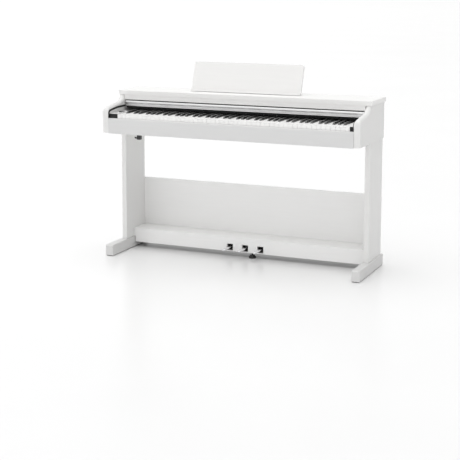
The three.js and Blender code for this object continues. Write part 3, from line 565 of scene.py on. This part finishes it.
PITCH = 0.0235
KEY_GAP = 0.0009
BLACK_STEPS = (0.9, 2.1, 3.857, 5, 6.143)
NOTCH = 0.0065
HEAD = 0.050
NOSE_DEPTH = 0.0115
# The slope of a black key's nose, as (share of its depth, share of its height).
NOSE = ((0.1, 0.115), (0.3, 0.345), (0.5, 0.57), (0.66, 0.745), (0.78, 0.86), (0.88, 0.935), (0.95, 0.98))


def keyboard_plan():
    """Left edge of the lowest key, and the centre line of every black key."""
    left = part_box("white_keys_low")[0].x - KEY_GAP / 2
    first_c = left + 2 * PITCH
    centres = [first_c + (7 * octave + step) * PITCH for octave in range(-1, 7) for step in BLACK_STEPS]
    return left, [x for x in centres if x > left]


def white_key(left, blacks, index, front, back, bottom, top):
    """One white key: a body with a deeper front, under a thin top plate that stands a little proud."""
    x0 = left + index * PITCH + KEY_GAP / 2
    x1 = x0 + PITCH - KEY_GAP
    neck = front + HEAD

    def beside(edge):
        return next((x for x in blacks if abs(x - edge) < PITCH / 2), None)

    black0, black1 = beside(x0), beside(x1)
    tail0 = x0 if black0 is None else black0 + NOTCH
    tail1 = x1 if black1 is None else black1 - NOTCH

    def plan(lip):
        points = [(x0, front + lip), (x1, front + lip)]
        if tail1 != x1:
            points += [(x1, neck), (tail1, neck)]
        points += [(tail1, back), (tail0, back)]
        if tail0 != x0:
            points += [(tail0, neck), (x0, neck)]
        return points

    cap, inset, seam = 0.0028, 0.0009, 0.0001
    front_drop, front_depth = 0.003, 0.003
    body = prism(plan(inset), bottom, top - cap - seam, 2)
    y0, y1 = front + inset, front + inset + front_depth
    apron = prism([(x0, y0), (x1, y0), (x1, y1), (x0, y1)], bottom - front_drop, bottom - seam, 2)
    return [body, apron, prism(plan(0), top - cap, top, 2)]


def black_key(x, front, back, bottom, top):
    """One black key: a tapering bar with rounded shoulders and a curved, sloping nose."""
    base_half, top_half, shoulder = 0.00525, 0.0043, 0.0016
    white_top = bottom + 0.014
    stations = [(front, white_top + 0.0005, 0.72), (front + 0.0003, white_top + 0.0015, 0.8)]
    nose_y, nose_z = front + 0.0003, white_top + 0.0015
    for across, up in NOSE:
        stations.append((nose_y + NOSE_DEPTH * across, nose_z + (top - nose_z) * up, 0.8 + 0.2 * across))
    stations += [(front + 0.014, top, 1), (back, top, 1)]
    rings = []
    for y, z, wide in stations:
        height = (z - bottom) / (top - bottom)
        half = base_half + (top_half - base_half) * height
        corner = shoulder * wide
        ring = [(x - base_half, y, bottom), (x - half, y, z - corner)]
        for i in range(1, 5):
            angle = i / 5 * math.pi / 2
            across, up = corner * (1 - math.cos(angle)), corner * math.sin(angle)
            ring.append((x - half + across, y, z - corner + up))
        ring.append((x - half + corner, y, z))
        mirrored = [(2 * x - px, py, pz) for px, py, pz in reversed(ring)]
        rings.append(ring + mirrored)
    return loft(rings)


WHITE_RANGES = {"white_keys_low": (0, 22), "white_keys_high": (30, 51)}
BLACK_RANGES = {"black_keys_low": (0, 15), "black_keys_high": (21, 35)}
for offset, note in enumerate("cdefgab"):
    WHITE_RANGES[f"key_{note}4"] = (23 + offset, 23 + offset)
for offset, note in enumerate("cdfga"):
    BLACK_RANGES[f"key_{note}_sharp4"] = (16 + offset, 16 + offset)
BODIES = frame["record"]["behaviour"]["bodies"]
BODY_OF = {node: body for body, nodes in BODIES.items() for node in nodes}


def make_keys():
    left, blacks = keyboard_plan()
    for node, (first, last) in WHITE_RANGES.items():
        low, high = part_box("key_c4")
        parts = []
        for index in range(first, last + 1):
            parts += white_key(left, blacks, index, low.y, high.y, low.z, high.z)
        obj = mesh_piece(node + "_plates", *merge(parts), KEY_WHITE, BODY_OF[node], "key_white")
        bevel(obj, 0.0006, 3)
        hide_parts(node)
    for node, (first, last) in BLACK_RANGES.items():
        low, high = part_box("key_c_sharp4")
        parts = [black_key(x, low.y, high.y, low.z, high.z) for x in blacks[first : last + 1]]
        obj = mesh_piece(node + "_bars", *merge(parts), KEY_BLACK, BODY_OF[node], "key_black", smooth=True)
        soften(obj, 50)
        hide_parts(node)
    dress("keyboard_chassis", GREY, 0.0005)


# ---------------------------------------------------------------- key cover


def cover_front():
    """The cover's lip, finger groove and lower band in one smooth extrusion."""
    low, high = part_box("cover_front_rail")
    f, b, t = low.y, high.y, high.z
    roll, roll_sweep = 0.0085, math.radians(150)
    outline = [(f + 0.0008, low.z + 0.0012), (f + 0.0025, low.z), (b, low.z), (b, t)]
    outline += arc((f + roll, t - roll), roll, math.pi / 2, roll_sweep, 16)
    groove = (f + 0.0075, t - 0.0175), (f + 0.0080, t - 0.0215), (f + 0.0008, t - 0.0245)
    outline += curve_points(outline[-1], *groove, 14)
    skin = prism(outline, low.x, high.x, 0)
    obj = mesh_piece("cover_front_rail_skin", *skin, SILVER, "key_cover", "cover_silver", smooth=True)
    soften(obj, 30)
    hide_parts("cover_front_rail")


def gap_strip():
    """The black felt strip behind the nameboard that closes the gap above the key cover."""
    low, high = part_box("nameboard")
    panel_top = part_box("cover_panel")[1].z
    y0 = high.y + 0.0008
    y1 = y0 + 0.003
    z0, z1 = panel_top + 0.0012, high.z - 0.002
    strip = prism([(y0, z0), (y1, z0), (y1, z1), (y0, z1)], low.x + 0.001, high.x - 0.001, 0)
    obj = mesh_piece("nameboard_felt_strip", *strip, FELT, "cabinet", "felt")
    bevel(obj, 0.0004, 2)


def dress_cover():
    gap_strip()
    cover_front()
    dress("cover_panel", FOIL_X, 0.001)
    for side in ("left", "right"):
        dress(f"{side}_cover_rail", GUIDE_BLACK, 0.0006)


# ---------------------------------------------------------------- cheeks and controls


# The openings in the left cap, along Y: the power button, the slider and the sound button.
CONTROL_SPANS = [(-0.1745, -0.1575), (-0.1295, -0.0705), (-0.0565, -0.0435)]


def plate(xs, ys, windows, low_z, high_z):
    """A flat plate on a grid of breakpoints, open in the cells that windows lists."""
    solid = {(i, j) for i in range(len(xs) - 1) for j in range(len(ys) - 1)} - set(windows)
    count = len(xs) * len(ys)
    verts = [(x, y, z) for z in (low_z, high_z) for y in ys for x in xs]
    faces = []

    def at(i, j, level):
        return level * count + j * len(xs) + i

    for i, j in sorted(solid):
        corners = [(i, j), (i + 1, j), (i + 1, j + 1), (i, j + 1)]
        faces.append(tuple(at(*corner, 1) for corner in corners))
        faces.append(tuple(at(*corner, 0) for corner in reversed(corners)))
        beyond = [(i, j - 1), (i + 1, j), (i, j + 1), (i - 1, j)]
        for k, cell in enumerate(beyond):
            if cell not in solid:
                a, b = corners[k], corners[(k + 1) % 4]
                faces.append((at(*a, 0), at(*b, 0), at(*b, 1), at(*a, 1)))
    return verts, faces


def cheek_cap(side, openings):
    """The white cap on a cheek block. openings are the spans, along Y, of its controls."""
    low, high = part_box(f"{side}_cheek_block")
    lip, inset = 0.001, 0.0004
    window = (-0.6295, -0.6125)     # the openings' span along X
    xs = [low.x + inset, high.x - inset]
    ys = [low.y + lip, high.y - inset]
    windows = []
    if openings:
        xs[1:1] = window
        ys[1:1] = [edge for span in openings for edge in span]
        windows = [(1, 1 + 2 * index) for index in range(len(openings))]
    verts, faces = plate(xs, ys, windows, high.z - 0.0002, high.z + 0.0004)
    # The cap gets the lightened copy of the case white: painted light.
    mesh_piece(f"{side}_cheek_cap", verts, faces, FOIL_BOARD_PAINTED_LIGHT, "cabinet", "case_white")


def dress_cheeks():
    dress("left_cheek_block", GUIDE_BLACK, 0.0006)
    dress("right_cheek_block", GUIDE_BLACK, 0.0006)
    cheek_cap("left", CONTROL_SPANS)
    cheek_cap("right", [])
    dress("power_button", BLACK, 0.0008)
    dress("sound_button", BLACK, 0.0008)
    dress("volume_slider", BLACK, 0.0009)


# ---------------------------------------------------------------- music rest

REST_LEAN = math.radians(19)
REST_HEIGHT = 0.153
REST_THICKNESS = 0.012
REST_CORNER = 0.013
PROP_PIVOT = (0.016, 0.079)     # where the prop turns, in the leaning rest's own y and z


def rest_frame():
    """The matrix from the leaning rest's own frame (y rearward, z up the panel) to the piano's."""
    low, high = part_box("music_rest")
    foot = Vector(((low.x + high.x) / 2, low.y, low.z + REST_THICKNESS * math.sin(REST_LEAN)))
    place = Matrix.Translation(foot) @ Matrix.Rotation(-REST_LEAN, 4, "X")
    return place, (high.x - low.x) / 2


def music_rest():
    place, half = rest_frame()
    across, up = half - REST_CORNER, REST_HEIGHT - REST_CORNER
    face = [(-half, 0), (half, 0)]
    face += arc((across, up), REST_CORNER, 0, math.pi / 2, 12)
    face += arc((-across, up), REST_CORNER, math.pi / 2, math.pi / 2, 12)
    verts, faces = prism(face, 0, REST_THICKNESS, 1)
    verts = [tuple(place @ Vector(v)) for v in verts]
    # The panel gets the lightened copy of the case white: painted light.
    obj = mesh_piece("music_rest_panel", verts, faces, FOIL_REST_PAINTED_LIGHT, "music_rest_flap", "case_white")
    bevel(obj, 0.002, 4, 40)
    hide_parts("music_rest")
    dress("music_rest_ledge", FOIL_REST_PAINTED_LIGHT, 0.0008)
    rest_prop(place)


def rest_prop(place):
    """The bent wire behind the rest and the clips that hold it. The hinge gets its material here."""
    low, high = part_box("music_rest_stay")
    pivot = place @ Vector((0, *PROP_PIVOT))
    radius = 0.0021
    foot_z = low.z + radius * 1.05
    foot_y = high.y - radius * 1.05
    x0, x1 = low.x + radius, high.x - radius
    path = [(x0, pivot.y, pivot.z), (x0, foot_y, foot_z), (x1, foot_y, foot_z), (x1, pivot.y, pivot.z)]
    wire = tube("music_rest_prop_wire", rounded(path, 0.009), radius, STEEL, "music_rest_prop")
    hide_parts("music_rest_stay")
    leaf = [(0.0122, 0.070), (0.0138, 0.070), (0.0138, 0.088), (0.0122, 0.088)]
    eye = disc(PROP_PIVOT, 0.0033, 18)
    clips = []
    for x in (x0, x1):
        middle = x - place.translation.x
        clips.append(prism(leaf, middle - 0.013, middle + 0.013, 0))
        clips.append(prism(eye, middle - 0.0095, middle - 0.0028, 0))
        clips.append(prism(eye, middle + 0.0028, middle + 0.0095, 0))
    verts, faces = merge(clips)
    verts = [tuple(place @ Vector(v)) for v in verts]
    clip_piece = mesh_piece("music_rest_clips", verts, faces, BLACK, "music_rest_flap", "trim_black")
    bevel(clip_piece, 0.0004, 2)
    dress("music_rest_hinge", STEEL, 0.0003)


# ---------------------------------------------------------------- pedals


def pedal(node, body):
    """A cast pedal: a crowned lever, narrow at the slot and widening to a full round toe."""
    low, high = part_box(node)
    x = (low.x + high.x) / 2
    tip, shaft_y = low.y, high.y - 0.008
    mid = (low.z + high.z) / 2
    half_t = 0.0044
    wide, stem = 0.0119, 0.0099
    rings = []
    samples, around = 40, 20
    for i in range(samples + 1):
        t = i / samples
        y = tip + (shaft_y - 0.006 - tip) * t**1.35
        from_tip = y - tip
        if from_tip < wide:
            half = wide * math.sqrt(max(0.0, 1 - ((wide - from_tip) / wide) ** 2))
        else:
            ease = min(1, max(0, (from_tip - 0.030) / 0.055))
            half = wide + (stem - wide) * (ease * ease * (3 - 2 * ease))
        half = max(half, 0.0006)
        crown = 0.0016 * min(1, half / wide)
        toe = max(0.0, 1 - from_tip / 0.012)
        lift = -0.0011 * toe * toe
        thick = half_t * (1 - 0.25 * toe)
        ring = []
        for step in range(around):
            angle = 2 * math.pi * step / around
            c, s = math.cos(angle), math.sin(angle)
            px = half * math.copysign(abs(c) ** 0.55, c)
            pz = thick * math.copysign(abs(s) ** 0.6, s)
            if pz > 0:
                pz -= crown * (px / half) ** 2
            ring.append((x + px, y, mid + pz + lift))
        rings.append(ring)
    hub_profile = [(0.0046, -0.011), (0.008, -0.0108), (0.008, 0.0108), (0.0046, 0.011)]
    casting = merge([loft(rings), bored(hub_profile, (x, shaft_y, mid), 0)])
    obj = mesh_piece(node + "_casting", *casting, CHROME, body, "pedal_chrome", smooth=True)
    soften(obj, 45)
    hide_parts(node)


def dress_pedals():
    for side in ("left", "middle", "right"):
        pedal(f"{side}_pedal", f"{side}_pedal_lever")
    dress("pedal_shaft", STEEL, 0.0004)
    dress("pedal_bracket", STEEL, 0.0004)
    dress("adjuster_bolt", BLACK, 0.0006)


# ---------------------------------------------------------------- electrics and small fittings


def speaker_parts(side):
    """The grille in the keybed's opening: a rim with speaker cloth. The driver gets its material."""
    low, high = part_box(f"{side}_speaker")
    x, y = (low.x + high.x) / 2, (low.y + high.y) / 2
    bed_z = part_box("keybed")[0].z
    inner, outer, deep = 0.0295, 0.0335, 0.002
    rim_profile = [(inner, 0), (outer, 0), (outer, deep), (inner, deep)]
    rim = bored(rim_profile, (x, y, bed_z + 0.0006), 2, 40)
    ring = mesh_piece(f"{side}_grille_rim", *rim, BLACK, "cabinet", "trim_black", smooth=True)
    soften(ring, 35)
    cloth = spun([(0.0293, 0), (0.0293, 0.0006)], (x, y, bed_z + 0.0012), 2, 40)
    mesh_piece(f"{side}_grille_cloth", *cloth, CLOTH, "cabinet", "trim_black")
    dress(f"{side}_speaker", PAPER, 0.0006)


def jack_box():
    """The headphone box: a small moulded case with two jacks in its face, and the hook beside it."""
    low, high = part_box("headphone_box")
    dress("headphone_box", BLACK, 0.0016, 3)
    mid_z = (low.z + high.z) / 2 - 0.001
    collar = [(0.0022, 0), (0.0040, 0), (0.0044, 0.0004), (0.0044, 0.0016), (0.0022, 0.0016)]
    collars, bores = [], []
    for share in (0.3, 0.7):
        x = low.x + (high.x - low.x) * share
        collars.append(spun(collar, (x, low.y - 0.0008, mid_z), 1, 24))
        bores.append(spun([(0.0021, 0), (0.0021, 0.001)], (x, low.y - 0.0001, mid_z), 1, 20))
    piece = mesh_piece(
        "headphone_jack_collars", *merge(collars), BLACK, "cabinet", "trim_black", smooth=True)
    soften(piece, 35)
    mesh_piece("headphone_jack_bores", *merge(bores), FELT, "cabinet", "trim_black")
    hook_low, hook_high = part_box("headphone_hook")
    y = (hook_low.y + hook_high.y) / 2
    z = hook_low.z + 0.0045
    tip_x, tip_z = hook_low.x + 0.0042, hook_high.z - 0.0042
    path = [(hook_high.x, y, z), (tip_x, y, z), (tip_x, y, tip_z)]
    hook = tube("headphone_hook_peg", rounded(path, 0.0035), 0.0041, BLACK, "cabinet")
    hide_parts("headphone_hook")


def screws():
    """Round-headed screws along the back panel and down the ends of the kick board."""
    back_low, back_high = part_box("back_panel")
    kick_low, kick_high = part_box("kick_board")
    margin, end, sunk = 0.012, 0.03, 0.001
    places = []
    for i in range(9):
        x = back_low.x + end + (back_high.x - back_low.x - 2 * end) * i / 8
        places.append((x, back_high.y, back_low.z + margin))
        places.append((x, back_high.y, back_high.z - margin))
    for x in (kick_low.x + margin, kick_high.x - margin):
        for z in (0.09, 0.20, 0.32):
            places.append((x, kick_high.y, z))
    head = [(0.0042, 0), (0.0040, 0.0006), (0.0028, 0.0013), (0.0008, 0.0016)]
    parts = [spun(head, (x, y - sunk, z), 1, 18) for x, y, z in places]
    obj = mesh_piece("panel_screws", *merge(parts), STEEL, "cabinet", "steel", smooth=True)
    soften(obj, 50)


def board_parts():
    """Chips and capacitors on the main board."""
    low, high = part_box("main_board")
    dress("main_board", CIRCUIT, 0.0)
    z = high.z
    chips = []
    sizes = ((24, 24, 2.2), (14, 10, 1.8), (14, 10, 1.8), (20, 12, 2.6), (10, 8, 1.6))
    for i, (w, d, h) in enumerate(sizes):
        x = low.x + 0.045 + 0.055 * i
        y = (low.y + high.y) / 2 + (-0.012 if i % 2 else 0.010)
        outline = [(x, y), (x + w * MM, y), (x + w * MM, y + d * MM), (x, y + d * MM)]
        chips.append(prism(outline, z, z + h * MM, 2))
    chip_piece = mesh_piece("board_chips", *merge(chips), BLACK, "cabinet", "trim_black")
    bevel(chip_piece, 0.0003, 2)
    can = [(0.0040, 0), (0.0040, 0.0095), (0.0036, 0.010)]
    cans = [spun(can, (low.x + 0.03 + 0.018 * i, high.y - 0.012, z), 2, 20) for i in range(6)]
    can_piece = mesh_piece("board_capacitors", *merge(cans), STEEL, "cabinet", "steel", smooth=True)
    soften(can_piece, 35)


def sockets():
    """The pins and tongue inside the blind sockets on the back."""
    low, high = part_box("socket_panel")
    dress("socket_panel", BLACK, 0.0006)
    z = (low.z + high.z) / 2
    root_y = low.y + 0.0014
    inlet_pin = [(0.0011, 0), (0.0011, 0.0045), (0.0006, 0.005)]
    pins = [spun(inlet_pin, (low.x + 0.024, root_y, z), 1, 14)]
    for across, up in ((0.0555, 0.002), (0.0605, 0.002), (0.058, -0.0028)):
        pins.append(spun([(0.0008, 0), (0.0008, 0.0040)], (low.x + across, root_y, z + up), 1, 12))
    mesh_piece("socket_pins", *merge(pins), BRASS, "cabinet", "steel", smooth=True)
    x0, x1, z0, z1 = high.x - 0.0245, high.x - 0.0175, z + 0.001, z + 0.003
    tongue = prism([(x0, z0), (x1, z0), (x1, z1), (x0, z1)], root_y, high.y - 0.001, 1)
    mesh_piece("socket_tongue", *tongue, BLACK, "cabinet", "trim_black")


# ---------------------------------------------------------------- floor and light


def stage():
    """The pale floor, wide enough to reach the horizon."""
    size = 120
    corners = [(-size, -size, 0), (size, -size, 0), (size, size, 0), (-size, size, 0)]
    floor = bpy.data.objects.new("floor", bpy.data.meshes.new("floor"))
    floor.data.from_pydata(corners, [], [(0, 1, 2, 3)])
    floor.data.materials.append(pale_floor())
    bpy.context.collection.objects.link(floor)


# How bright the studio dome is at each height, as (sine of the elevation, brightness).
DOME = ((0.0, 1.08), (0.26, 1.08), (0.38, 0.62), (0.66, 0.62), (0.8, 1.2), (0.92, 2.2))
DOME_PEAK = 2.4
# The dome's strength is DOME_MEAN, less DOME_TILT along X and Y: brighter on the left and in front.
DOME_MEAN = 0.97
DOME_TILT = (-0.26, -0.16)


def sky():
    """A plain studio dome: bright low down, dimmer above, and widely and softly lit overhead."""
    world = bpy.data.worlds.new("studio")
    bpy.context.scene.world = world
    world.use_nodes = True
    nodes, links = world.node_tree.nodes, world.node_tree.links
    coordinate = nodes.new("ShaderNodeTexCoord")
    split = nodes.new("ShaderNodeSeparateXYZ")
    links.new(coordinate.outputs["Generated"], split.inputs[0])
    ramp = nodes.new("ShaderNodeValToRGB")
    stops = ramp.color_ramp.elements
    while len(stops) < len(DOME):
        stops.new(0.5)
    for stop, (height, level) in zip(stops, DOME):
        stop.position = height
        stop.color = (level / DOME_PEAK,) * 3 + (1,)
    links.new(split.outputs["Z"], ramp.inputs["Fac"])
    along = nodes.new("ShaderNodeVectorMath")
    along.operation = "DOT_PRODUCT"
    along.inputs[1].default_value = (DOME_TILT[0] * DOME_PEAK, DOME_TILT[1] * DOME_PEAK, 0)
    links.new(coordinate.outputs["Generated"], along.inputs[0])
    total = nodes.new("ShaderNodeMath")
    total.operation = "ADD"
    total.inputs[1].default_value = DOME_MEAN * DOME_PEAK
    links.new(along.outputs["Value"], total.inputs[0])
    background = nodes["Background"]
    links.new(ramp.outputs["Color"], background.inputs["Color"])
    links.new(total.outputs["Value"], background.inputs["Strength"])


def lights():
    sky()
    bpy.context.scene.view_settings.view_transform = "Standard"
    bpy.context.scene.view_settings.look = "None"


# ---------------------------------------------------------------- assembly

make_camera()
dress_case()
side_panel(-1)
side_panel(1)
key_slip()
make_keys()
dress_cover()
dress_cheeks()
music_rest()
dress_pedals()
speaker_parts("left")
speaker_parts("right")
jack_box()
screws()
board_parts()
sockets()
stage()
lights()
